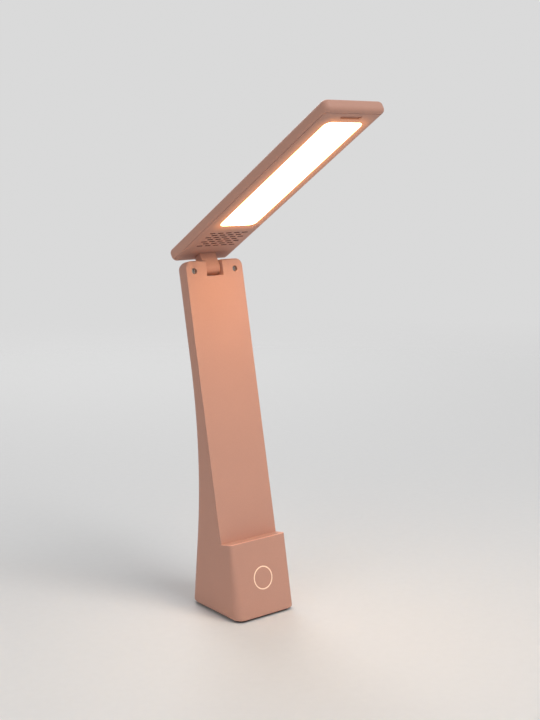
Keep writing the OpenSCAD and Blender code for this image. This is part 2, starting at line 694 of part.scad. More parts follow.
// Chips, a coil, a capacitor and the cable headers on the control board.
module board_parts() {
    translate([0, board_mid, board_top + AIR]) {
        color(dark) {
            translate([-board_w / 4, board_d / 5, 0]) cube([chip_len, chip_len * 0.8, 1.5]);
            translate([board_w / 10, board_d / 10, 0]) cube([chip_len * 0.8, chip_len * 0.65, 1.4]);
            translate([-board_w / 5, -board_d / 20, 0]) linear_extrude(3)
                rounded(chip_len + 1, chip_len + 1, 1.5);
        }
        color(steel) translate([board_w / 6, -board_d / 13, 0])
            cylinder(r = 2.5, h = header_h + 0.4, $fn = 32);
    }
    color(white) for (h = [cell_header, touch_header, light_header])
        translate([h[0] - h[2] / 2, h[1], board_top + AIR]) cube([h[2], h[3], header_h]);
}

module usb_socket() {
    t = 0.3;
    color(steel) translate([0, usb_y, usb_z]) rotate([90, 0, 0]) {
        difference() {
            linear_extrude(usb_len) rounded(usb_w, usb_h, usb_h / 2 - EPS);
            translate([0, 0, -1]) linear_extrude(usb_len - 0.4)
                rounded(usb_w - 2 * t, usb_h - 2 * t, usb_h / 2 - t - EPS);
        }
    }
    color(dark) translate([-3.3, usb_y - usb_len + 0.5, usb_z - 0.35]) cube([6.6, usb_len - 1.3, 0.7]);
}

// ================= touch ring =================
module touch_board() {
    color(board_green) at_face() difference() {
        translate([-touch_w / 2, touch_y, ring_up - touch_h / 2]) cube([touch_w, board_t, touch_h]);
        in_pairs(touch_screw_x) for (z = [-1, 1]) translate([0, 0, ring_up + z * touch_screw_z])
            along_y(0, screw_pass_r, touch_y + 5);
    }
}

module touch_screws() {
    color(steel) at_face() in_pairs(touch_screw_x) for (z = [-1, 1])
        translate([0, touch_y + board_t + AIR, ring_up + z * touch_screw_z]) rotate([-90, 0, 0])
            screw(touch_y + board_t - 1);
}

module touch_spring() {
    wire = 0.3;
    turns = 4;
    n = 14;
    color(steel) at_face() translate([0, touch_y - wire - AIR, ring_up])
        tube([for (i = [0:turns * n]) let (a = 360 * i / n, t = i / (turns * n), r = mix(4.6, 3, t))
                [r * cos(a), -t * (touch_gap - 2 * wire - 2 * AIR), r * sin(a)]], wire, [0, 1, 0], 6);
}

module ring_lights() {
    deep = 1.4;
    color(white) at_face() translate([0, touch_y - AIR - deep, ring_up])
        for (i = [1:peg_count]) rotate([0, 360 * (i - 0.5) / peg_count, 0])
            translate([ring_r - 1, 0, -1]) cube([2, deep, 2]);
}

module touch_ring() {
    color("#f3e4e2") at_face() translate([0, 0, ring_up]) {
        difference() {
            along_y(0, ring_r + ring_w / 2, ring_sink);
            along_y(-1, ring_r - ring_w / 2, ring_sink + 2);
        }
        for (i = [1:peg_count]) rotate([0, 360 * (i - 0.5) / peg_count, 0]) translate([ring_r, 0, 0])
            along_y(ring_sink / 2, peg_r, touch_y - 1.7 - ring_sink / 2);
    }
}

// ================= hinge, on the stand =================
// Drawn for the right side: an ear round the pin and a foot against the shell's back.
module bracket() {
    foot_back = stem_t - wall - bracket_pad - AIR;
    color(steel) at_panel() difference() {
        union() {
            translate([0, axis_back, axis_z]) along_x(ear_x, ear_top, bracket_t);
            translate([ear_x, axis_back - ear_front, axis_z - bracket_low])
                cube([bracket_t, ear_front + ear_back, bracket_low]);
            translate([ear_x, foot_back - bracket_t, axis_z - bracket_low])
                cube([bracket_w, bracket_t, bracket_low - bracket_screw_z[0] + 3]);
        }
        translate([0, axis_back, axis_z]) along_x(0, pin_r + run_clear, 3 * ear_x);
        for (z = bracket_screw_z) translate([bracket_screw_x, 0, axis_z - z])
            along_y(0, screw_pass_r, stem_t);
        // the ear's lower half stands clear of the pads
        translate([0, foot_back, axis_z - bracket_low - 1])
            cube([2 * ear_x, wall, bracket_low - ear_back - 2]);
    }
}
module bracket_right() { bracket(); }
module bracket_left() { mirror([1, 0, 0]) bracket(); }

module bracket_screw(i) {
    seat = stem_t - wall - bracket_pad - bracket_t - 2 * AIR;
    color(steel) at_panel() translate([side(i) * bracket_screw_x, seat, axis_z - bracket_screw_z[row(i)]])
        rotate([90, 0, 0]) screw(stem_t - seat - 0.8);
}

module hinge_washer(x, r_in, r_out, t) {
    at_panel() translate([0, axis_back, axis_z]) difference() {
        along_x(x, r_out, t);
        along_x(x - 1, r_in, t + 2);
    }
}

module friction_washer() {
    color(dark) hinge_washer(ear_out + run_clear, pin_r + run_clear, washer_r, washer_t);
}

// ================= hinge, on the head =================
module hinge_pin() {
    color(steel) at_axis() difference() {
        union() {
            along_x(-flange_x, pin_r, flange_x + nut_end);
            along_x(-pin_end, washer_r, pin_flange_t);
        }
        along_x(-pin_end - 1, pin_hole_r, pin_end + 1 + pin_hole_r);
        // window that lets the cable turn up into the neck
        translate([-3 * pin_hole_r, -pin_hole_r, 0]) cube([4 * pin_hole_r, 2 * pin_hole_r, pin_r + 1]);
    }
}

// One of two coned disc springs, back to back: number 0 or 1 from the bracket.
module disc_spring(number) {
    color(steel) at_axis() translate([spring_x + number * spring_t, 0, 0])
        rotate([0, 90, 0]) mirror([0, 0, number]) rotate_extrude($fn = 48) polygon([
            [pin_r + AIR, spring_t / 2 - 0.35], [pin_r + AIR, spring_t / 2 - AIR / 2],
            [washer_r - 0.5, 0.4], [washer_r - 0.5, AIR]]);
}
module spring_washer_1() { disc_spring(0); }
module spring_washer_2() { disc_spring(1); }

module lock_nut() {
    color(steel) at_axis() difference() {
        translate([nut_x, 0, 0]) rotate([0, 90, 0]) cylinder(r = washer_r, h = nut_t, $fn = 6);
        along_x(0, pin_r + AIR, 2 * nut_end);
    }
}

module hinge_knuckle() {
    foot_z0 = axis_to_head + knuckle_foot_low;
    foot_z1 = foot_z0 + knuckle_foot_t;
    color(body_colour) at_axis() difference() {
        union() {
            along_x(-knuckle_w / 2, barrel_r, knuckle_w);
            block(knuckle_w, -barrel_r, 0, neck_tail, foot_z1);
            block(knuckle_foot_w, -knuckle_foot_front, foot_z0, neck_tail, foot_z1);
        }
        along_x(-knuckle_w, pin_r + AIR / 2, 2 * knuckle_w);
        translate([-3 * pin_hole_r, -pin_hole_r, 0]) cube([4 * pin_hole_r, 2 * pin_hole_r, pin_r + 2]);
        cylinder(r = pin_hole_r, h = foot_z1 + 1, $fn = 32);
        block(2 * pin_hole_r, -knuckle_foot_front - 1, foot_z0, 0, foot_z1 + 1);
        in_pairs(knuckle_screw_x) for (y = knuckle_screw_y) translate([0, y, 0])
            cylinder(r = screw_pass_r, h = foot_z1 + 1, $fn = 32);
    }
}

module knuckle_screw(i) {
    color(steel) at_head()
        translate([side(i) * knuckle_screw_x, knuckle_screw_y[row(i)], knuckle_foot_low - AIR])
            rotate([180, 0, 0]) screw(cover_in + 0.6 - knuckle_foot_low);
}

// ================= head =================
// Ring of the head's outline at height z, "in" from its long sides and "far" from its ends.
function head_ring(z, in, far, n) =
    ring_at([far - tip_reach, z], [tail_reach - far, z], head_w - 2 * in, head_w - 2 * in,
            max(head_r - in, 0.8), max(head_r - in, 0.8), n);
// Ring at angle a of the rounding under the head, and of the rounding round its top.
function under_ring(a, n) = head_ring(
    head_under_h * (1 - cos(a)), head_under_side * (1 - sin(a)), head_under_end * (1 - sin(a)), n);
function upper_ring(a, top, r, nose, in, n) =
    head_ring(top - r + r * sin(a), in + r * (1 - cos(a)), in + nose * (1 - cos(a)), n);

module head_skin() {
    loft(concat([for (i = [0:5]) under_ring(18 * i, SKIN_STEPS)],
                [for (i = [0:6]) upper_ring(15 * i, head_t, head_top_r, head_nose, 0, SKIN_STEPS)]));
}

// Room for the frame inside the cover's rim, made smaller by a gap.
module frame_space(gap, top) {
    w = head_w - 2 * (seam_in + gap);
    r = max(head_r - seam_in - gap, 0.8);
    loft([for (z = [-1, top])
        ring_at([seam_tip + gap - tip_reach, z], [tail_reach - seam_tail - gap, z], w, w, r, r, SKIN_STEPS)]);
}

module head_cover() {
    core_r = head_top_r - head_wall;
    core_nose = head_nose - head_wall;
    color(body_colour) at_head() difference() {
        union() {
            difference() {
                head_skin();
                loft(concat([head_ring(head_wall, head_wall, head_wall, CORE_STEPS)],
                            [for (a = [0, 45, 90])
                                upper_ring(a, cover_in, core_r, core_nose, head_wall, CORE_STEPS)]));
                frame_space(0, head_wall + AIR);
            }
            in_pairs(knuckle_screw_x) for (y = knuckle_screw_y)
                translate([0, y, knuckle_foot_low + knuckle_foot_t + AIR])
                    cylinder(r = boss_r, h = cover_in - knuckle_foot_low - knuckle_foot_t, $fn = 32);
        }
        in_pairs(knuckle_screw_x) for (y = knuckle_screw_y) translate([0, y, 0])
            cylinder(r = screw_bore_r, h = cover_in + 0.8, $fn = 32);
    }
}

module vent_slots() {
    for (row = [0:vent_rows - 1]) {
        count = vent_cols - row % 2;
        for (i = [0:count - 1])
            translate([(i - (count - 1) / 2) * vent_pitch_x, row * vent_pitch_s - vent_far])
                rounded(vent_len, vent_wide, vent_wide / 2 - EPS);
    }
}

module head_frame() {
    tab_w = 8;
    color(body_colour) at_head() difference() {
        union() {
            intersection() {
                head_skin();
                frame_space(seam_gap, head_wall);
            }
            // snap tabs inside the cover's long walls
            in_pairs(head_w / 2 - head_wall - SEAT - 0.5) for (t = [0.2, 0.5, 0.8])
                translate([-0.5, -tip_reach * t - tab_w / 2, head_wall - EPS]) cube([1, tab_w, 2.2]);
        }
        translate([0, -window_mid, -1]) linear_extrude(head_wall + 2) rounded(window_w, window_len, window_r);
        translate([0, 0, -1]) linear_extrude(head_wall + 2) vent_slots();
        translate([0, slot_in - tip_reach, -1]) linear_extrude(head_wall + 0.5)
            rounded(slot_len, slot_wide, slot_wide / 2 - EPS);
        block(knuckle_w + 2 * SEAT, -barrel_r - SEAT, -1, neck_tail + SEAT, head_wall + 1);
    }
}

module diffuser() {
    color([1, 0.95, 0.85]) at_head() translate([0, -window_mid, 0]) {
        translate([0, 0, 0.15]) linear_extrude(head_wall + AIR)
            rounded(window_w - 2 * AIR, window_len - 2 * AIR, window_r - AIR);
        translate([0, 0, head_wall + AIR]) linear_extrude(flange_t)
            rounded(window_w + 2 * flange_w, window_len + 2 * flange_w, window_r + flange_w);
    }
}

module reflector_frame() {
    color(white) at_head() translate([0, -window_mid, tray_low]) linear_extrude(led_low - AIR - tray_low)
        difference() {
            rounded(window_w + 2 * flange_w, window_len + 2 * flange_w, window_r + flange_w);
            rounded(window_w, window_len, window_r);
        }
}

module led_board() {
    color(white) at_head() translate([0, -window_mid, led_low]) linear_extrude(led_board_t)
        rounded(window_w + 2 * flange_w, window_len + 2 * flange_w, window_r + flange_w);
}

module led_chips() {
    step_y = (window_len - 8) / (chips_along - 1);
    step_x = window_w / (chip_rows + 1);
    color([1, 0.9, 0.5]) at_head() for (row = [0:chip_rows - 1], i = [0:chips_along - 1])
        translate([(row - (chip_rows - 1) / 2) * step_x - chip_w / 2,
                   i * step_y - window_far + 4 - chip_w / 2, led_low - AIR - chip_h])
            cube([chip_w, chip_w, chip_h]);
}

module heat_spreader() {
    color(steel) at_head() translate([0, -window_mid, cover_in - AIR - spreader_t]) linear_extrude(spreader_t)
        rounded(window_w + 2 * flange_w, window_len + 2 * flange_w, window_r + flange_w);
}

// ================= cables =================
module led_plug() {
    color(white) at_head() translate([-3, flange_w - window_near + AIR, led_low - 2.4]) cube([6, 5, 3]);
}

module head_cable() {
    far = flange_w - window_near + 5 + 2 * AIR;
    up = axis_to_head + led_low - 1;
    color("#8c1c1c") at_axis() tube(smooth([
        [-cable_split, 0, 0], [-6, 0, 0], [-2.2, 0, 0.1], [-0.6, 0, 0.9], [0, 0, 2.6], [0, 0, 8],
        [0, 0, up - 1.8], [0, -0.6, up - 0.5], [0, -2.4, up], [0, -12, up], [0, far, up]], 4),
        cable_r, [0.3, 1, 0.2]);
}

// A point in the stem's frame, taken to the part's frame.
function stem_point(p) = let (q = at_stem(p[1], p[2])) [p[0], q[0], q[1]];
module stem_cable() {
    z = axis_z;
    x = -cable_split - CABLE_AIR;
    r = cell_d / 2;
    cable_x = leg_r + 1.5 - leg_x;                          // just inside the cradle's legs
    depth = axis_back - 1.8;
    in = light_header[1] + light_header[3] / 2;
    top = [for (p = [[x, axis_back, z], [x - 0.9, axis_back, z], [x - 1.9, axis_back - 0.3, z - 0.9],
                     [x - 2.2, axis_back - 0.8, z - 3.4], [x - 2.2, depth, 0.96 * z],
                     [cable_x, depth, 0.88 * z],
                     [cable_x, depth + 0.8, 0.69 * z], [cable_x, depth + 1.8, 0.48 * z]]) stem_point(p)];
    color("#8c1c1c") tube(smooth(concat(top, [
        [cable_x, cell_y - 0.57 * r, mix(cell_low, cell_top, 0.77)],
        [cable_x, cell_y - 0.9 * r, mix(cell_low, cell_top, 0.31)],
        [cable_x, in - 0.6, plug_z + 6], [cable_x + 1.1, in, plug_z + 0.8],
        [light_header[0] - light_header[2] / 2 - AIR, in, plug_z]]), 4),
        cable_r, [0.35, 1, 0.1]);
}

module battery_lead_red() {
    y = cell_header[1] - AIR;
    r = cell_d / 2;
    pin_x = cell_header[0] - 1;
    color("#8c1c1c") tube(smooth([
        [0, cell_y - 0.27 * r, cell_top + 1], [-0.33 * r, cell_y - 0.55 * r, cell_top + 1.5],
        [-0.77 * r, cell_y - 0.95 * r, cell_top + 0.2], [-r, cell_y - r, mix(cell_low, cell_top, 0.92)],
        [-1.04 * r, cell_y - 1.05 * r, mix(cell_low, cell_top, 0.3)],
        [-r, y + 2.4, mix(cell_low, cell_top, 0.1)],
        [pin_x - 1.6, y - 3, plug_z + 3], [pin_x - 0.2, y - 1.8, plug_z + 0.4], [pin_x, y, plug_z]], 4),
        cable_r * 0.8, [0.9, 0.4, 0.1]);
}

module battery_lead_black() {
    y = cell_header[1] - AIR;
    pin_x = cell_header[0] + 1;
    color(dark) tube(smooth([
        [1, tab_end - 0.3, cell_low], [0.4, tab_end - 1.6, cell_low - 0.2],
        [pin_x + 2.2, (tab_end + y) / 2 - 1.3, plug_z + 3.4], [pin_x + 0.4, y - 1, plug_z + 3],
        [pin_x, y - 2.6, plug_z + 1.2], [pin_x, y - 1.2, plug_z + 0.1], [pin_x, y, plug_z]], 4),
        cable_r * 0.8, [1, 0.3, 0]);
}

// Lead from the touch board's foot to its header on the control board.
module touch_lead() {
    foot = [touch_y * cos(face_lean) - base_d / 2 + (ring_up - touch_h / 2) * sin(face_lean),
            (ring_up - touch_h / 2) * cos(face_lean) - touch_y * sin(face_lean)];
    x = touch_header[0];
    y = touch_header[1] - AIR;
    color(white) tube(smooth([
        [x, foot[0] + 0.8, foot[1] - AIR - 0.4], [x, foot[0] + 1, foot[1] - 1.6],
        [x, (foot[0] + y) / 2, plug_z - 1], [x, y - 1.5, plug_z], [x, y, plug_z]], 4),
        cable_r * 0.8, [1, 0, 0]);
}

// ================= the part =================
stand_shell();
front_panel();
panel_screw_left();
panel_screw_right();
bottom_plate();
for (i = [1:4]) bottom_screw(i);
anti_slip_pad();
ballast_plate();
battery_cell();
cell_tab_top();
cell_tab_bottom();
battery_cradle();
for (i = [1:4]) cradle_screw(i);
control_board();
board_parts();
board_screws();
usb_socket();
touch_board();
touch_screws();
touch_spring();
ring_lights();
touch_ring();
bracket_left();
bracket_right();
for (i = [1:4]) bracket_screw(i);
friction_washer();
battery_lead_red();
battery_lead_black();
touch_lead();
stem_cable();
hinge_pin();
spring_washer_1();
spring_washer_2();
lock_nut();
hinge_knuckle();
for (i = [1:4]) knuckle_screw(i);
head_cable();
led_plug();
head_cover();
head_frame();
diffuser();
reflector_frame();
led_board();
led_chips();
heat_spreader();
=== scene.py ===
# %% [markdown]
# # A folding desk lamp
# A hollow plastic stand leans back from a block-shaped base. A flat head with a long opal window turns
# on a hinge at the top of the stand. The CAD model fixes the size and place of all its pieces, so this
# lesson is about surfaces: the small radius on a moulded edge, the grain of matt plastic, the glow of a
# diffuser. All lengths are in metres, and every piece stays where the CAD model has it.

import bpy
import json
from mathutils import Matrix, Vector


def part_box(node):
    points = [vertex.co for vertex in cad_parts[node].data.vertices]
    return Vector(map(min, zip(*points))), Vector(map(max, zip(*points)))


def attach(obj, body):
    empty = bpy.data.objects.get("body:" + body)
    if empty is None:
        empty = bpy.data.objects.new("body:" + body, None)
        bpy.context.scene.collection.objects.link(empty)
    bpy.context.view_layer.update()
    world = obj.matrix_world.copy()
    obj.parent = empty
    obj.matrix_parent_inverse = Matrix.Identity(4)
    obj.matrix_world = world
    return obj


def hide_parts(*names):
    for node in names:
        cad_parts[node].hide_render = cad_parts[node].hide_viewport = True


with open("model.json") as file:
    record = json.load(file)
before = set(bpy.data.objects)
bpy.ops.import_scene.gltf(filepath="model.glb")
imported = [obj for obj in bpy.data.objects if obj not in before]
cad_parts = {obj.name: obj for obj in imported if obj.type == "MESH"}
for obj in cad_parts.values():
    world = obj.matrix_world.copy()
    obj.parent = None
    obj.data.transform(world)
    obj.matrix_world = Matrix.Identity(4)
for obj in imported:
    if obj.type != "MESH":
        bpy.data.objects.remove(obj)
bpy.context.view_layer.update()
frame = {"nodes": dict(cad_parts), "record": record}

import json
import math

import bmesh
import bpy
from mathutils import Matrix, Vector

MM = 0.001
nodes = frame["nodes"]
record = frame["record"]
slot_of = {row["node"]: row["material_slot"] for row in record["subparts"]}
body_of = {node: body for body, members in record["behaviour"]["bodies"].items() for node in members}

# %% [markdown]
# ## Shader sums written as Python
# A finish is mostly sums on patterns: some noise, times a mask, plus a plain value. Wired by hand, each
# sum is a chain of boxes that hides the idea. Here a small class holds the output socket of a node and
# turns Python's operators into Math nodes, so that `0.4 + grain * 0.1` builds the nodes it needs.

# %% A signal that does sums
class Signal:
    """The output socket of a shader node, usable in sums."""

    def __init__(self, finish, socket):
        self.finish = finish
        self.socket = socket

    def math(self, operation, a, b=None):
        values = {0: a} if b is None else {0: a, 1: b}
        return self.finish.node("ShaderNodeMath", {"operation": operation}, values)

    def __add__(self, other):
        return self.math("ADD", self, other)

    __radd__ = __add__

    def __sub__(self, other):
        return self.math("SUBTRACT", self, other)

    def __rsub__(self, other):
        return self.math("SUBTRACT", other, self)

    def __mul__(self, other):
        return self.math("MULTIPLY", self, other)

    __rmul__ = __mul__

    def __truediv__(self, other):
        return self.math("DIVIDE", self, other)

    def __pow__(self, other):
        return self.math("POWER", self, other)

    def __abs__(self):
        return self.math("ABSOLUTE", self)

    def over(self, other):
        """1 where this is greater than the other, 0 elsewhere."""
        return self.math("GREATER_THAN", self, other)

    def most(self, other):
        return self.math("MAXIMUM", self, other)

    def least(self, other):
        return self.math("MINIMUM", self, other)

    def sine(self):
        return self.math("SINE", self)

    def step(self, start, end):
        """0 below start, 1 above end, smooth between."""
        return self.finish.node("ShaderNodeMapRange", {"interpolation_type": "SMOOTHSTEP"}, {
            "Value": self, "From Min": start, "From Max": end, "To Min": 0.0, "To Max": 1.0})


print("signals ready")

# %% [markdown]
# A material starts with Blender's Principled shader. One method adds any other node: its options first,
# then the numbers, colours or signals of its sockets. The patterns that several finishes share, noise
# and bump among them, get short names of their own. A pattern's scale counts its patches in a metre, so
# 1000 gives patches about a millimetre wide, and three scales stretch a pattern one way.

# %% A finish
COLOUR_A = 6                                   # the Mix node's colour sockets go by number, because
COLOUR_B = 7                                   # its other types have sockets of the same names
COLOUR_OUT = 2


class Finish:
    """One material, with its Principled shader and the patterns that feed it."""

    def __init__(self, name, **constants):
        self.material = bpy.data.materials.new(name)
        self.material.use_nodes = True
        self.tree = self.material.node_tree
        self.shader = self.tree.nodes["Principled BSDF"]
        self.where = self.node("ShaderNodeTexCoord", out="Object")
        self.set(**constants)

    def put(self, node, sockets):
        for key, value in sockets.items():
            target = node.inputs[key]
            if isinstance(value, Signal):
                self.tree.links.new(value.socket, target)
            elif target.type == "RGBA":
                target.default_value = (*value, 1.0)[:4]
            else:
                target.default_value = value

    def node(self, kind, settings=None, sockets=None, out=0):
        made = self.tree.nodes.new(kind)
        for key, value in (settings or {}).items():
            setattr(made, key, value)
        self.put(made, sockets or {})
        return Signal(self, made.outputs[out])

    def set(self, **sockets):
        self.put(self.shader, {key.replace("_", " "): value for key, value in sockets.items()})
        return self.material

    def noise(self, scale, detail, roughness=0.5, at=None):
        return self.node("ShaderNodeTexNoise", {}, {
            "Vector": at or self.where, "Scale": scale, "Detail": detail, "Roughness": roughness})

    def cells(self, scale, at=None, **settings):
        return self.node("ShaderNodeTexVoronoi", settings, {
            "Vector": at or self.where, "Scale": scale})

    def mapped(self, turn=(0, 0, 0), scale=(1, 1, 1)):
        """Each point's place on the object, turned or stretched."""
        return self.node("ShaderNodeMapping", {}, {
            "Vector": self.where, "Rotation": turn, "Scale": scale})

    def axes(self, at=None):
        """The three numbers of a place, as signals."""
        split = self.node("ShaderNodeSeparateXYZ", {}, {"Vector": at or self.where})
        return [Signal(self, socket) for socket in split.socket.node.outputs]

    def blend(self, amount, first, second):
        return self.node("ShaderNodeMix", {"data_type": "RGBA"}, {
            "Factor": amount, COLOUR_A: first, COLOUR_B: second}, COLOUR_OUT)

    def bump(self, height, distance, strength, over=None):
        more = {} if over is None else {"Normal": over}
        return self.node("ShaderNodeBump", {}, {
            "Height": height, "Distance": distance, "Strength": strength, **more})


def shade(colour, amount):
    return tuple(c * amount for c in colour)


finishes = {}
print("shader tools ready")

# %% [markdown]
# ## Rose plastic
# Stand, head and hinge knuckle are moulded in one dusty rose plastic with the fine matt grain of a
# spark-eroded mould. A flat colour would look like paper. So the colour drifts a few parts in a hundred,
# the roughness wanders as it does where hands have been, and two fine bumps break up the shine: pits
# less than half a millimetre apart, and the slight waviness that a cooling wall gets.
#
# Edges get rubbed: every hand and cloth passes over them, so the grain there is polished and a little
# paler. A bevel marks its own new faces later with a number named "edge", and the finish reads it. An
# ordinary edge has 1. The front edge of the ledge has 2, and there the colour is much paler: a painted
# highlight, for the thin line of light that this edge catches.
#
# The head needs two things more, both painted light. Inside its narrow vent slots little light comes back
# out, so a mask paints that shade in: a dark red colour behind the underside. And an emission paints a
# warm glow into the plastic round the window, most at the rim and less with every millimetre. Both
# follow the head's own directions, which come from the imported model: a flat plate inside the head gives
# its tilt, and the lowest points of its frame give the distance of its underside from the hinge.

# %% The head's own directions
def flat_normal(node):
    """The direction that the largest face of a flat node looks to, upwards."""
    widest = max(nodes[node].data.polygons, key=lambda face: face.area)
    return widest.normal if widest.normal.z > 0 else -widest.normal


def box_in(place, node):
    """A node's lowest and highest corners, measured along a place's own axes."""
    inward = place.inverted()
    points = [inward @ vertex.co for vertex in nodes[node].data.vertices]
    return [Vector(pick(p[axis] for p in points) for axis in range(3)) for pick in (min, max)]


hinge_axis = Vector(record["behaviour"]["joints"][0]["pos_m"])
up = flat_normal("heat_spreader")
head_tilt = math.atan2(up.y, up.z)
at_hinge = Matrix.Translation(hinge_axis) @ Matrix.Rotation(-head_tilt, 4, "X")
underside = box_in(at_hinge, "head_frame")[0].z
head_place = at_hinge @ Matrix.Translation((0, 0, underside))
print("head tilted", round(math.degrees(head_tilt), 2), "degrees, underside",
      round(underside / MM, 2), "mm from the hinge axis")


def along_head(finish):
    """Each point's place in the head: across, along (the tip is at minus), up from the underside."""
    return finish.axes(finish.node("ShaderNodeMapping", {"vector_type": "TEXTURE"}, {
        "Vector": finish.where, "Location": head_place.translation,
        "Rotation": head_place.to_euler()}))


# %% [markdown]
# The window's place is needed twice, for its own mesh and for the glow painted into the frame round its
# rim. Its flange is the widest part of the CAD node, and the face is narrower by the flange all round.

# %% The window's plan
FLANGE = 2 * MM                                # width of the window's flange, all round
WINDOW_R = 5 * MM                              # corner radius of its face
window_low, window_high = box_in(head_place, "diffuser")
window_size = (window_high - window_low).xy - Vector((2, 2)) * FLANGE
window_middle = (window_high + window_low).y / 2
print("window face", [round(v / MM, 2) for v in window_size], "mm, middle",
      round(window_middle / MM, 2), "mm, depth",
      [round(v / MM, 2) for v in (window_low.z, window_high.z)])


def from_rim(across, along):
    """Distance out from the rounded rim of the window: below 0 inside it, above 0 outside."""
    side = abs(across) - (window_size.x / 2 - WINDOW_R)
    end = abs(along) - (window_size.y / 2 - WINDOW_R)
    corner = (side.most(0.0) ** 2 + end.most(0.0) ** 2) ** 0.5
    return corner + side.most(end).least(0.0) - WINDOW_R


# %% [markdown]
# The mask of painted shade needs no outline of each slot, because inside the frame's wall, between its
# two faces, nothing shows but the walls of the slots. So it takes the depth of the wall, over the part of
# the head that has the vents. The painted glow stays on the outer face and the rim, and leaves the floor
# of the thumb slot near the tip darker.

# %% The body's plastic
ROSE = (0.555, 0.292, 0.218)
# painted shade: the dark red that stands for the little light coming back out of the vent slots
VENT_SHADE_RED = (0.085, 0.012, 0.004)
VENT_SIDE = 19 * MM                            # the vents lie this near the head's middle line
VENT_ALONG = 38 * MM                           # and this near the hinge
WALL = 1.5 * MM                                # thickness of the frame's wall
# painted glow: an emission in the plastic round the window, strongest at its rim
PAINTED_GLOW = (0.36, 0.12, 0.03)                      # the light in the wall at the window's rim
PAINTED_GLOW_REACH = 12 * MM                           # how far from the rim it goes


def painted_vent_shade(x, y, z):
    """Painted shade: 1 on the walls of the vent slots, 0 elsewhere."""
    depth = z.step(0.01 * MM, 0.08 * MM) * (1 - z.step(WALL, WALL + 0.2 * MM))
    return depth * (VENT_SIDE - abs(x)).over(0.0) * (y + VENT_ALONG).over(0.0)


def painted_rim_glow(x, y, z):
    """Painted glow: 1 at the window's rim, down to 0 where it ends."""
    near = 1 - from_rim(x, y - window_middle).step(-0.1 * MM, PAINTED_GLOW_REACH)
    return near ** 2.5 * (1 - z.step(0.3 * MM, 1.0 * MM))


def rose_plastic(name, around_window=False):
    finish = Finish(name, Specular_IOR_Level=0.4)
    cloud = finish.noise(24.0, 3.0, 0.55)
    speck = finish.noise(1100.0, 2.0, 0.6)
    touched = finish.noise(11.0, 2.0)
    pits = finish.cells(2400.0, feature="SMOOTH_F1") + finish.noise(5200.0, 2.0) * 0.4
    edge = finish.node("ShaderNodeAttribute", {"attribute_name": "edge"}, out="Fac")
    rubbed = edge.least(1.0) * finish.noise(90.0, 2.0).step(0.35, 0.65)
    # painted highlight: 1 on the ledge's front edge, the only edge marked 2
    painted_highlight = (edge - 1).most(0.0)
    colour = finish.blend(cloud * 0.5 + speck * 0.5, shade(ROSE, 0.91), shade(ROSE, 1.08))
    colour = finish.blend(rubbed * 0.5, colour, shade(ROSE, 1.22))
    # the painted highlight makes the ledge's front edge much paler, for the line of light it catches
    colour = finish.blend(painted_highlight * 0.9, colour, shade(ROSE, 1.62))
    if around_window:
        place = along_head(finish)
        # painted shade inside the vent slots
        colour = finish.blend(painted_vent_shade(*place) * 0.95, colour, VENT_SHADE_RED)
        # the painted glow: the frame's plastic itself gives warm light near the window
        finish.set(Emission_Color=finish.blend(painted_rim_glow(*place), (0, 0, 0), PAINTED_GLOW),
                   Emission_Strength=1.0)
    wavy = finish.bump(cloud, 0.12 * MM, 0.25)
    return finish.set(Base_Color=colour,
                      Roughness=0.47 + touched * 0.10 + speck * 0.05 - rubbed * 0.14,
                      Normal=finish.bump(pits, 0.06 * MM, 0.7, wavy))


finishes["body"] = rose_plastic("rose_plastic")
window_surround = rose_plastic("rose_plastic_round_window", around_window=True)
print("rose plastic, base colour", ROSE)

# %% [markdown]
# ## Metals
# The screws, the hinge pin and its brackets are plated steel, the heat spreader is rolled aluminium.
# Both are metallic all over, and what tells them apart is the mark of the tool. Turned steel has a fine
# mottle of plating with a few darker specks. Rolled sheet has long streaks one way, which come from
# stretching the noise: scaled up across the streak and hardly at all along it.

# %% Steel and aluminium
def plated_steel():
    finish = Finish("plated_steel", Metallic=1.0)
    mottle = finish.noise(700.0, 4.0, 0.6)
    scratch = finish.noise(1.0, 3.0, 0.6, finish.mapped(scale=(5200.0, 700.0, 900.0)))
    specks = finish.cells(1400.0).step(0.0, 0.22)
    colour = finish.blend(mottle, (0.21, 0.205, 0.20), (0.40, 0.39, 0.375))
    return finish.set(Base_Color=finish.blend(specks, (0.12, 0.11, 0.10), colour),
                      Roughness=0.26 + mottle * 0.18 + scratch * 0.08,
                      Normal=finish.bump(scratch, 0.012 * MM, 0.5))


def rolled_sheet(name, colour, streak_scale):
    finish = Finish(name, Metallic=1.0)
    streak = finish.noise(1.0, 4.0, 0.65, finish.mapped(scale=streak_scale))
    stain = finish.noise(60.0, 3.0)
    colour = finish.blend(streak * 0.7 + stain * 0.3, shade(colour, 0.82), colour)
    return finish.set(Base_Color=colour, Roughness=0.26 + streak * 0.16 + stain * 0.05,
                      Normal=finish.bump(streak, 0.010 * MM, 0.6))


finishes["steel"] = plated_steel()
finishes["aluminium"] = rolled_sheet("rolled_aluminium", (0.80, 0.80, 0.81),
                                     streak_scale=(1800.0, 25.0, 60.0))
print("metals:", finishes["steel"].name, finishes["aluminium"].name)

# %% [markdown]
# ## Rubber and dark plastic
# The pad under the base is black rubber with a moulded grip: small raised squares, drawn by two sine
# waves at right angles. The bottom plate is black plastic with a coarser grain than the body, and the
# friction washer of the hinge is a smooth, waxy black. Black is never quite black: a base colour of two
# to four parts in a hundred leaves room for shading.

# %% Black materials
GRIP_WAVE = 2600.0                             # radians in a metre: a square every 2.4 mm


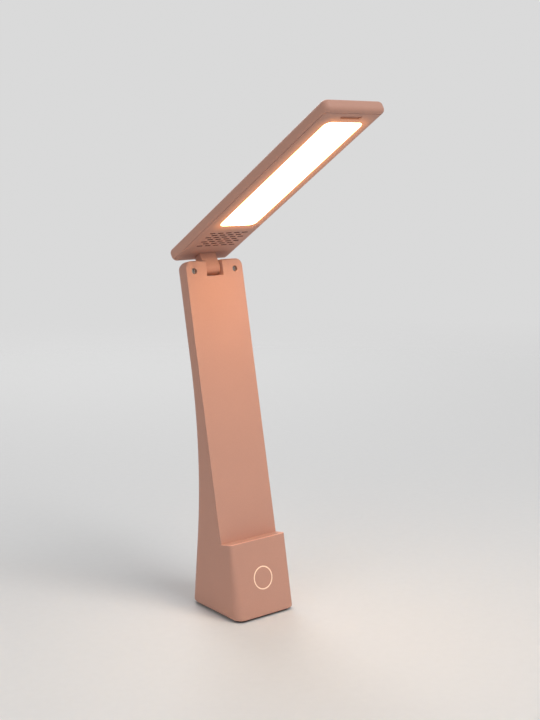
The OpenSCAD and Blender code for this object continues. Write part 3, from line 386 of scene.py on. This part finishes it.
def grip_rubber():
    finish = Finish("grip_rubber", Specular_IOR_Level=0.3)
    x, y, _ = finish.axes()
    squares = (x * GRIP_WAVE).sine().step(-0.2, 0.3) * (y * GRIP_WAVE).sine().step(-0.2, 0.3)
    dust = finish.noise(160.0, 4.0, 0.65)
    colour = finish.blend(dust.step(0.45, 0.8), (0.020, 0.019, 0.020), (0.060, 0.056, 0.054))
    return finish.set(Base_Color=finish.blend(squares * 0.6, colour, (0.062, 0.059, 0.058)),
                      Roughness=0.68 + dust * 0.22,
                      Normal=finish.bump(squares + dust * 0.15, 0.15 * MM, 0.7))


def grained_black(name, colour, rough, grain_scale, depth):
    finish = Finish(name, Specular_IOR_Level=0.45)
    leather = finish.cells(grain_scale, feature="DISTANCE_TO_EDGE").step(0.0, 0.35)
    haze = finish.noise(40.0, 3.0)
    return finish.set(Base_Color=finish.blend(haze, shade(colour, 0.75), shade(colour, 1.3)),
                      Roughness=rough + haze * 0.10 - leather * 0.06,
                      Normal=finish.bump(leather, depth, 0.5))


finishes["pad"] = grip_rubber()
finishes["dark_plastic"] = grained_black("grained_black_plastic", (0.034, 0.033, 0.034),
                                         rough=0.48, grain_scale=1900.0, depth=0.05 * MM)
finishes["washer"] = grained_black("waxy_black_washer", (0.028, 0.028, 0.030),
                                   rough=0.30, grain_scale=900.0, depth=0.01 * MM)
print("blacks:", [finishes[name].name for name in ("pad", "dark_plastic", "washer")])

# %% [markdown]
# ## Pale plastics
# The touch ring is a milky light guide set into the front of the base. While the lamp is on, four small
# lights behind it make it glow a little, which a weak emission stands for. Plugs, headers, the reflector
# tray and the light strip holders are white nylon, slightly warm, with the faint flow marks of a small
# moulding.

# %% Milky ring and white nylon
def pale_plastic(name, colour, rough, coat, flow_scale, lit=(0, 0, 0)):
    finish = Finish(name, Coat_Roughness=0.12, Emission_Color=lit, Emission_Strength=1.0)
    flow = finish.noise(1.0, 2.0, 0.5, finish.mapped(scale=flow_scale))
    fine = finish.noise(1500.0, 2.0)
    warm = (colour[0] * 0.96, colour[1] * 0.93, colour[2] * 0.88)
    return finish.set(Base_Color=finish.blend(flow * 0.7 + fine * 0.3, warm, colour),
                      Roughness=rough + fine * 0.08, Coat_Weight=coat,
                      Normal=finish.bump(flow + fine * 0.4, 0.02 * MM, 0.4))


finishes["ring"] = pale_plastic("milky_ring", (0.82, 0.70, 0.60), rough=0.30, coat=0.25,
                                flow_scale=(120.0, 120.0, 500.0), lit=(0.30, 0.15, 0.07))
finishes["white_plastic"] = pale_plastic("white_nylon", (0.78, 0.77, 0.73), rough=0.42, coat=0.0,
                                         flow_scale=(90.0, 400.0, 90.0))
print("pale plastics:", finishes["ring"].name, finishes["white_plastic"].name)

# %% [markdown]
# ## Electronics
# The boards are glass fibre under a solder mask. Under the green mask, copper tracks show as slightly
# raised, lighter bands, here the edges of large square cells, with small round vias between. The board
# for the lights has a white mask instead. Chips are black epoxy with a dull, sandy top.

# %% Circuit boards and chips
def circuit_board(name, mask, track, track_scale):
    finish = Finish(name, Coat_Weight=0.2, Coat_Roughness=0.2)
    turned = finish.mapped(turn=(0, 0, math.radians(45)))
    lines = finish.cells(track_scale, turned, feature="F1", distance="CHEBYCHEV")
    tracks = lines.step(0.42, 0.50)
    vias = 1 - finish.cells(track_scale * 0.8, distance="EUCLIDEAN").step(0.10, 0.16)
    weave = finish.noise(2400.0, 1.0)
    colour = finish.blend(tracks, mask, track)
    return finish.set(Base_Color=finish.blend(vias * 0.8, colour, (0.60, 0.52, 0.36)),
                      Roughness=0.32 + weave * 0.12,
                      Normal=finish.bump(tracks * 0.7 + vias * 0.5 + weave * 0.2, 0.03 * MM, 0.6))


def epoxy():
    finish = Finish("chip_epoxy", Specular_IOR_Level=0.4)
    sand = finish.noise(2600.0, 3.0, 0.7)
    haze = finish.noise(260.0, 2.0)
    colour = finish.blend(sand * 0.5 + haze * 0.5, (0.012, 0.012, 0.014), (0.045, 0.044, 0.046))
    return finish.set(Base_Color=colour, Roughness=0.42 + sand * 0.2,
                      Normal=finish.bump(sand, 0.015 * MM, 0.5))


finishes["board"] = circuit_board("green_board", mask=(0.012, 0.105, 0.040),
                                  track=(0.035, 0.21, 0.080), track_scale=330.0)
finishes["led_board"] = circuit_board("white_board", mask=(0.80, 0.80, 0.78),
                                      track=(0.72, 0.72, 0.69), track_scale=150.0)
finishes["chips"] = epoxy()
print("boards and chips:", [finishes[name].name for name in ("board", "led_board", "chips")])

# %% [markdown]
# ## The battery and its wires
# The cell is a steel can in a shrunk blue film. The film wraps over the shoulders of the can and leaves
# both ends bare, so a mask on the height chooses between the two, and a fine wrinkle is deepest near the
# ends, where the film shrank most. The wires have soft silicone jackets, smooth but dusted with lint.

# %% Cell and wires
def battery_film():
    low, high = (corner[2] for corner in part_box("battery_cell"))
    finish = Finish("blue_film_cell", Coat_Roughness=0.1)
    z = finish.axes()[2]
    film = z.step(low + 0.8 * MM, low + 1.0 * MM) * (1 - z.step(high - 2.2 * MM, high - 2.0 * MM))
    shrink = z.step(high - 8 * MM, high - 2 * MM) + (1 - z.step(low + 1 * MM, low + 6 * MM))
    wrinkle = finish.noise(1.0, 3.0, 0.6, finish.mapped(scale=(700.0, 700.0, 60.0)))
    dye = finish.noise(45.0, 2.0)
    blue = finish.blend(dye, (0.018, 0.085, 0.30), (0.028, 0.12, 0.38))
    return finish.set(Base_Color=finish.blend(film, (0.58, 0.57, 0.55), blue), Metallic=1 - film,
                      Roughness=0.26 + wrinkle * 0.12, Coat_Weight=film * 0.4,
                      Normal=finish.bump(wrinkle * (0.15 + shrink), 0.05 * MM, 0.5))


def silicone(name, colour):
    finish = Finish(name, Specular_IOR_Level=0.4)
    lint = finish.noise(900.0, 4.0, 0.7)
    sheen = finish.noise(70.0, 2.0)
    linty = tuple(0.8 * c + 0.05 for c in colour)
    return finish.set(Base_Color=finish.blend(lint.step(0.55, 0.85), colour, linty),
                      Roughness=0.36 + sheen * 0.16, Normal=finish.bump(lint, 0.02 * MM, 0.4))


finishes["cell"] = battery_film()
finishes["wire_red"] = silicone("red_wire", (0.40, 0.020, 0.018))
finishes["wire_black"] = silicone("black_wire", (0.018, 0.018, 0.019))
print("battery and wires:", [finishes[name].name for name in ("cell", "wire_red", "wire_black")])

# %% [markdown]
# ## Light
# The lamp is on. Its window is an opal sheet with rows of small lights behind it. In the middle it is so
# bright that it reads as white, and in the last millimetre before the frame it falls off to a deep
# yellow, because there the sheet is lit from one side only. The window therefore has a UV map that
# holds its own width and length in metres, and the material works out each point's distance from the
# rounded rim. The little lights themselves are squares of yellow phosphor in a pale cup.

# %% Opal window and phosphor
GLOW = 22.0                                    # how much brighter than white paper it is
WARM = (1.0, 0.66, 0.36)                       # the tint of the light that it gives
SIDE_LIT = (0.40, 0.15, 0.020)                 # the deep yellow near the rim
EDGE = (0.060, 0.022, 0.002)                   # and the dim line at the very rim
ROWS = (6, 36)                                 # half waves of brighter spots, across and along


def opal():
    finish = Finish("opal_window", Emission_Strength=GLOW, Specular_IOR_Level=0.5)
    u, v, _ = finish.axes(finish.node("ShaderNodeUVMap", {"uv_map": "plan"}))
    depth = 0 - from_rim(u, v)
    across = u * (ROWS[0] * math.pi / window_size.x)
    along = v * (ROWS[1] * math.pi / window_size.y)
    spots = across.sine() * along.sine()
    frost = finish.noise(1300.0, 2.0)
    inner = finish.blend(depth.step(0.5 * MM, 1.6 * MM), SIDE_LIT, shade(WARM, 0.97))
    rim = finish.blend(depth.step(0.1 * MM, 0.7 * MM), EDGE, inner)
    lit = finish.blend(0.04 + spots * 0.03, rim, (1.0, 0.9, 0.7))
    return finish.set(Base_Color=finish.blend(frost, (0.84, 0.82, 0.76), (0.90, 0.88, 0.83)),
                      Emission_Color=lit, Roughness=0.34 + frost * 0.10,
                      Normal=finish.bump(frost, 0.01 * MM, 0.3))


def phosphor():
    finish = Finish("yellow_phosphor", Emission_Strength=1.0)
    grit = finish.noise(2200.0, 3.0, 0.6)
    colour = finish.blend(grit, (0.78, 0.50, 0.06), (0.90, 0.70, 0.16))
    return finish.set(Base_Color=colour,
                      Emission_Color=finish.blend(0.25, colour, (1.0, 0.9, 0.6)),
                      Roughness=0.45 + grit * 0.2, Normal=finish.bump(grit, 0.02 * MM, 0.5))


finishes["diffuser"] = opal()
finishes["led_chips"] = phosphor()
print("glow", GLOW, "in", WARM)

# %% [markdown]
# ## Dress the CAD nodes
# Each CAD node takes the finish of its material slot. Most inner pieces need no more than that, because
# their shapes are plain in real life too.

# %% A finish for every node
for name, cad_object in nodes.items():
    cad_object.data.materials.clear()
    cad_object.data.materials.append(finishes[slot_of[name]])
print(len(finishes), "finishes on", len(slot_of), "nodes")

# %% [markdown]
# ## Mouldings
# The visible pieces have the right shape in the CAD model, but as loose flat triangles with knife-sharp
# edges, and no real edge is that sharp: it catches a thin line of light. A copy is welded, its flat
# areas are joined back into whole faces, and every sharp edge gets a small radius. Smooth shading then
# runs over the curves and stops at the real edges, and weighted normals keep the flat faces flat.
#
# The bevel's own clamp would hold every radius of a piece down to the size of its shortest edge. So it
# is off. Instead the weld closes slivers too small to see, and edges shorter than the radius stay as
# they are.

# %% Tools for a finished piece
SLIVER = 0.03 * MM                             # edges shorter than this are closed up
FLAT = math.radians(0.3)                       # triangles that meet at less than this are one face
CURVE = math.radians(34)                       # shading runs smoothly over angles up to this
CORNER = math.radians(35)                      # edges sharper than this get a radius
RUBBED = 1.0                                   # the mark on an ordinary edge
# the next mark is for the painted highlight on the front edge of the ledge
HIGHLIGHT_MARK = 2.0                                # and on the front edge of the ledge
LEDGE_R = 0.4 * MM                             # that edge's larger radius


def finished(bm, name, node, material=None):
    """Make the piece that stands for a CAD node, in the finish of its slot or in a special one."""
    for face in bm.faces:
        face.smooth = True
    mesh = bpy.data.meshes.new(name)
    bm.to_mesh(mesh)
    bm.free()
    mesh.set_sharp_from_angle(angle=CURVE)
    mesh.materials.append(material or finishes[slot_of[node]])
    piece = bpy.data.objects.new(name, mesh)
    bpy.context.scene.collection.objects.link(piece)
    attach(piece, body_of[node])
    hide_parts(node)
    return piece


def rounded_edges(bm, edges, radius, steps, wear_or_highlight):
    """Round these edges, and mark the new faces: 1 for rubbed wear, 2 for the painted highlight."""
    mark = bm.faces.layers.float.get("edge")
    faces = bmesh.ops.bevel(bm, geom=edges, offset=radius, offset_type="OFFSET", affect="EDGES",
                            segments=steps, profile=0.5, material=-1, clamp_overlap=False)["faces"]
    for face in faces:
        face[mark] = wear_or_highlight


def softened(node, name, radius, material=None, highlight_edge=None):
    """A copy of a CAD node with soft edges; the edges that the last argument picks are softer and carry
    the painted highlight.
    """
    bm = bmesh.new()
    bm.from_mesh(nodes[node].data)
    bmesh.ops.remove_doubles(bm, verts=bm.verts, dist=SLIVER)
    bmesh.ops.dissolve_degenerate(bm, edges=bm.edges, dist=SLIVER)
    bmesh.ops.dissolve_limit(bm, angle_limit=FLAT, verts=bm.verts, edges=bm.edges,
                             delimit={"NORMAL"})
    bm.faces.layers.float.new("edge")
    if highlight_edge:
        rounded_edges(bm, [e for e in bm.edges if highlight_edge(e)], LEDGE_R, 3, HIGHLIGHT_MARK)
    corners = [e for e in bm.edges
               if len(e.link_faces) == 2 and e.calc_face_angle(0) > CORNER
               and e.calc_length() > radius]
    rounded_edges(bm, corners, radius, 2, RUBBED)
    piece = finished(bm, name, node, material)
    piece.modifiers.new("flat faces stay flat", "WEIGHTED_NORMAL").keep_sharp = True
    print(name, len(corners), "edges softened,", len(piece.data.polygons), "faces")
    return piece


print("moulding tools ready")

# %% [markdown]
# A moulded edge is as round as the mould's cutter left it, a turned screw head is hardly broken, and the
# rubber pad is the softest. The halves of the head meet in a seam, so their radii stay small enough to
# keep it a thin dark line.

# %% Soften the visible pieces
LEDGE_HEIGHT = (50 * MM, 56 * MM)              # only the ledge looks up between these heights
BELOW_LEDGE = 49 * MM                          # of its neighbours, only the outside goes this low


def ledge_front(edge):
    """True between the ledge and the outside below it, but not where the panel's pocket cuts in."""
    ledge = [f for f in edge.link_faces
             if f.normal.z > 0.95 and LEDGE_HEIGHT[0] < f.calc_center_median().z < LEDGE_HEIGHT[1]]
    return len(ledge) == 1 and min(v.co.z for f in edge.link_faces for v in f.verts) < BELOW_LEDGE


# the ledge's front edge gets the larger radius and the painted highlight
softened("stand_shell", "stand_moulding", 0.2 * MM, highlight_edge=ledge_front)
softened("front_panel", "front_panel_moulding", 0.25 * MM)
softened("hinge_knuckle", "knuckle_moulding", 0.2 * MM)
softened("head_cover", "head_cover_moulding", 0.12 * MM)
softened("head_frame", "head_frame_moulding", 0.06 * MM, material=window_surround)
softened("touch_ring", "touch_ring_guide", 0.06 * MM)
softened("bottom_plate", "bottom_plate_moulding", 0.15 * MM)
softened("anti_slip_pad", "anti_slip_pad_moulding", 0.3 * MM)
for screw in ("panel_screw_left", "panel_screw_right", *(f"bottom_screw_{i}" for i in range(1, 5))):
    softened(screw, screw + "_turned", 0.05 * MM)

# %% [markdown]
# ## The opal window
# The window starts as one square face. Beveling its four corner points rounds the plan, extruding gives
# the thickness, and a last bevel softens the rim that shows. A wider plate behind it is the flange that
# the frame holds. The UV map is made while the window still lies flat at the origin, when a point's
# place is its place in the plan.

# %% Model the window
FACE_AIR = 0.02 * MM                           # the face stays this far inside its opening
FLANGE_T = 1 * MM                              # thickness of the flange
RIM_R = 0.25 * MM                              # radius of the rim that shows


def rounded_plate(bm, size, radius, low, high, soft=0.0):
    """A plate with round corners between two heights, its lower rim softened."""
    corners = bmesh.ops.create_grid(bm, x_segments=1, y_segments=1, size=0.5)["verts"]
    bmesh.ops.scale(bm, vec=(size.x, size.y, 1), verts=corners)
    bmesh.ops.translate(bm, vec=(0, 0, low), verts=corners)
    rounded = bmesh.ops.bevel(bm, geom=corners, offset=radius, affect="VERTICES", segments=10,
                              profile=0.5, material=-1)["verts"]
    plan = [face for face in rounded[0].link_faces if len(face.verts) > 4]
    walls = bmesh.ops.extrude_face_region(bm, geom=plan, use_keep_orig=True)["geom"]
    lifted = [g for g in walls if isinstance(g, bmesh.types.BMVert)]
    bmesh.ops.translate(bm, vec=(0, 0, high - low), verts=lifted)
    if soft:
        rim = [e for e in bm.edges if all(abs(v.co.z - low) < 0.001 * MM for v in e.verts)]
        bmesh.ops.bevel(bm, geom=rim, offset=soft, affect="EDGES", segments=3, profile=0.5,
                        material=-1)


def opal_window():
    bm = bmesh.new()
    seat = window_high.z - FLANGE_T
    both_sides = Vector((2, 2))
    rounded_plate(bm, window_size - both_sides * FACE_AIR, WINDOW_R, window_low.z, seat, RIM_R)
    rounded_plate(bm, window_size + both_sides * FLANGE, WINDOW_R + FLANGE, seat, window_high.z)
    bmesh.ops.recalc_face_normals(bm, faces=bm.faces)
    plan = bm.loops.layers.uv.new("plan")
    for face in bm.faces:
        for loop in face.loops:
            loop[plan].uv = loop.vert.co.xy
    place = head_place @ Matrix.Translation((0, window_middle, 0))
    bmesh.ops.transform(bm, matrix=place, verts=bm.verts)
    return finished(bm, "opal_window", "diffuser")


window = opal_window()

# %% [markdown]
# ## Floor and backdrop
# The lamp stands on a pale floor. A floor that ended would show a horizon behind the lamp, so the disc
# fades out with distance, and what shows behind it is the world in the same pale tone. Seen from below,
# the disc is clear, and it has a clear patch under the pad, so the base's underside can be seen and gets
# some light. The pad covers that patch from above.

# %% The floor
PALE = (0.70, 0.70, 0.70)
FLOOR_R = 2.0                                  # radius of the disc
FADE = (0.45, 1.7)                             # the floor fades out between these distances
PATCH = 0.92                                   # the clear patch is this much of the pad's size
patch = PATCH * Vector(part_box("anti_slip_pad")[1]).xy


def fading_floor():
    bm = bmesh.new()
    bmesh.ops.create_circle(bm, cap_ends=True, segments=96, radius=FLOOR_R)
    if bm.faces[:][0].normal.z < 0:
        bmesh.ops.reverse_faces(bm, faces=bm.faces)
    mesh = bpy.data.meshes.new("studio_floor")
    bm.to_mesh(mesh)
    bm.free()
    floor = bpy.data.objects.new("studio_floor", mesh)
    bpy.context.scene.collection.objects.link(floor)
    finish = Finish("pale_paper", Roughness=0.85, Specular_IOR_Level=0.2)
    fibre = finish.noise(160.0, 3.0)
    finish.set(Base_Color=finish.blend(fibre, shade(PALE, 0.98), shade(PALE, 1.02)))
    x, y, _ = finish.axes()
    far = ((x ** 2 + y ** 2) ** 0.5).step(*FADE)
    under_pad = 1 - ((abs(x) / patch.x) ** 5 + (abs(y) / patch.y) ** 5).step(0.5, 1.0)
    under = finish.node("ShaderNodeNewGeometry", out="Backfacing")
    clear = finish.node("ShaderNodeBsdfTransparent")
    paper = Signal(finish, finish.shader.outputs[0])
    see_through = far.most(under).most(under_pad)
    mixed = finish.node("ShaderNodeMixShader", {}, {0: see_through, 1: paper, 2: clear})
    finish.tree.links.new(mixed.socket, finish.tree.nodes["Material Output"].inputs["Surface"])
    mesh.materials.append(finish.material)
    return floor


fading_floor()
print("floor ready")

# %% [markdown]
# ## Light and camera
# Studio light is large and soft. The key hangs above and in front, so that upper edges catch it and the
# underside of the head stays in its own shadow. A weaker fill to the left keeps the side readable, and a
# lamp behind draws the outline of the back. The world gives an even base, and shows itself to the camera
# in the floor's tone. The levels are set so that a surface comes out about as bright as its colour says.

# %% Lamps and world
LAMP_MIDDLE = (0, 0, 0.17)
AMBIENT = 0.31                                 # the world's even light


def softbox(name, where, power, size):
    """A square lamp, power in watts, that looks at the middle of the desk lamp."""
    data = bpy.data.lights.new(name, "AREA")
    data.energy = power
    data.size = size
    lamp = bpy.data.objects.new(name, data)
    lamp.location = where
    aim = Vector(LAMP_MIDDLE) - Vector(where)
    lamp.rotation_euler = aim.to_track_quat("-Z", "Y").to_euler()
    bpy.context.scene.collection.objects.link(lamp)


softbox("key", (0.35, -1.35, 1.75), power=23, size=1.2)
softbox("fill", (-1.7, -0.5, 0.9), power=6, size=1.2)
softbox("back", (0.7, 1.5, 1.3), power=16, size=1.0)


def pale_world():
    """Even light for the surfaces, and the floor's tone for whatever looks at the world itself."""
    world = bpy.data.worlds.new("studio")
    world.use_nodes = True
    tree = world.node_tree
    background = tree.nodes["Background"]
    background.inputs["Color"].default_value = (1, 1, 1, 1)
    background.inputs["Strength"].default_value = AMBIENT
    shown = tree.nodes.new("ShaderNodeBackground")
    shown.inputs["Color"].default_value = (*PALE, 1)
    rays = tree.nodes.new("ShaderNodeLightPath")
    seen = rays.outputs["Is Camera Ray"]
    for ray in ("Is Glossy Ray", "Is Transmission Ray"):
        either = tree.nodes.new("ShaderNodeMath")
        either.operation = "MAXIMUM"
        tree.links.new(seen, either.inputs[0])
        tree.links.new(rays.outputs[ray], either.inputs[1])
        seen = either.outputs[0]
    mixed = tree.nodes.new("ShaderNodeMixShader")
    tree.links.new(seen, mixed.inputs[0])
    tree.links.new(background.outputs[0], mixed.inputs[1])
    tree.links.new(shown.outputs[0], mixed.inputs[2])
    tree.links.new(mixed.outputs[0], tree.nodes["World Output"].inputs["Surface"])
    bpy.context.scene.world = world


pale_world()
bpy.context.scene.view_settings.view_transform = "Standard"
print("three softboxes and a world")

# %% [markdown]
# The camera stands in front and to the left, as high as the head, and looks slightly down. From there
# the lit window, the front of the stand and one of its sides all show.

# %% The camera
SENSOR = 36.0                                  # millimetres, as for a film camera
LENS = 61.54                                   # millimetres
CAMERA_AT = (-526.5 * MM, -675.0 * MM, 321.3 * MM)
LOOKS_DOWN = 9.34                              # degrees
TURNED = -39.40                                # degrees, from looking straight back

camera_data = bpy.data.cameras.new("camera")
camera_data.sensor_width = SENSOR
camera_data.lens = LENS
camera = bpy.data.objects.new("camera", camera_data)
camera.location = CAMERA_AT
camera.rotation_euler = (math.radians(90 - LOOKS_DOWN), 0, math.radians(TURNED))
bpy.context.scene.collection.objects.link(camera)
bpy.context.scene.camera = camera
print("camera", [round(v, 4) for v in camera.location])
